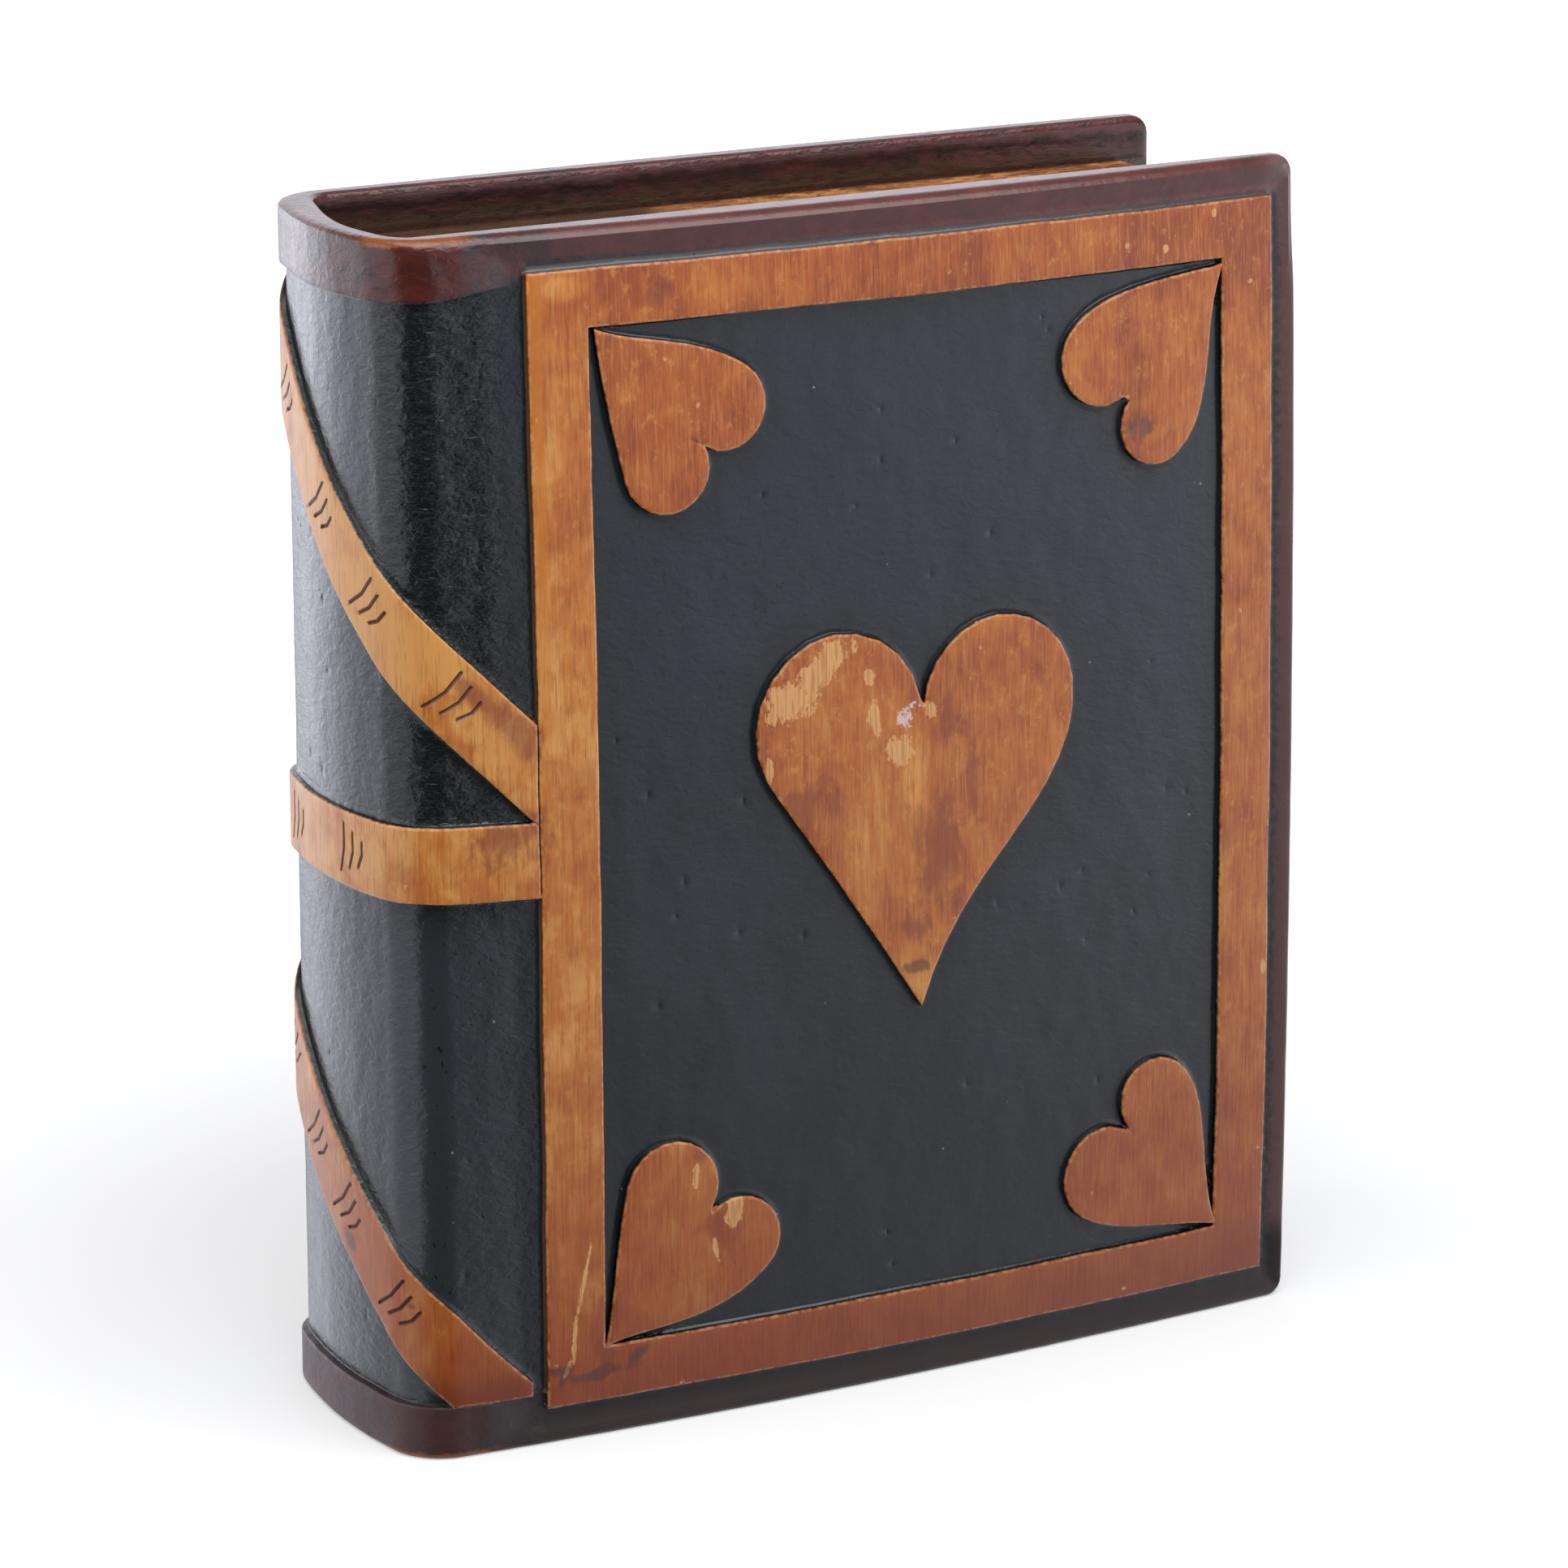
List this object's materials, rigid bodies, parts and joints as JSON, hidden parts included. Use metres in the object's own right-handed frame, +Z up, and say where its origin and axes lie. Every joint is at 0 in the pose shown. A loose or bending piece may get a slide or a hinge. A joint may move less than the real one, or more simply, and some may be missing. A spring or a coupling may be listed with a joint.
{
  "type": "spruce gum box",
  "caption": "Hollow wooden box carved as a small upright book, with raised hearts and frame on its cover, banded spine and a lid that slides out at the head.",
  "frame": {"origin": "middle of the bounding box at the level the box stands on", "axes": "+Z up, front cover with the hearts towards -Y, spine towards -X, fore-edge towards +X"},
  "size_m": [0.1256, 0.0438, 0.15],
  "materials": {
    "carved_wood": "honey varnish on the raised carving, black paint on the sunk ground, oxblood paint on borders and edges, all worn and satin",
    "lid_wood": "aged golden wood, old varnish, rough"
  },
  "bodies": {
    "case": {"gum_box_case": "carved_wood"},
    "lid": {"sliding_lid": "lid_wood"}
  },
  "joints": [
    {"name": "lid_slide", "type": "slide", "parent": "case", "child": "lid", "axis": [1, 0, 0], "range_m": [0, 0.106]}
  ]
}
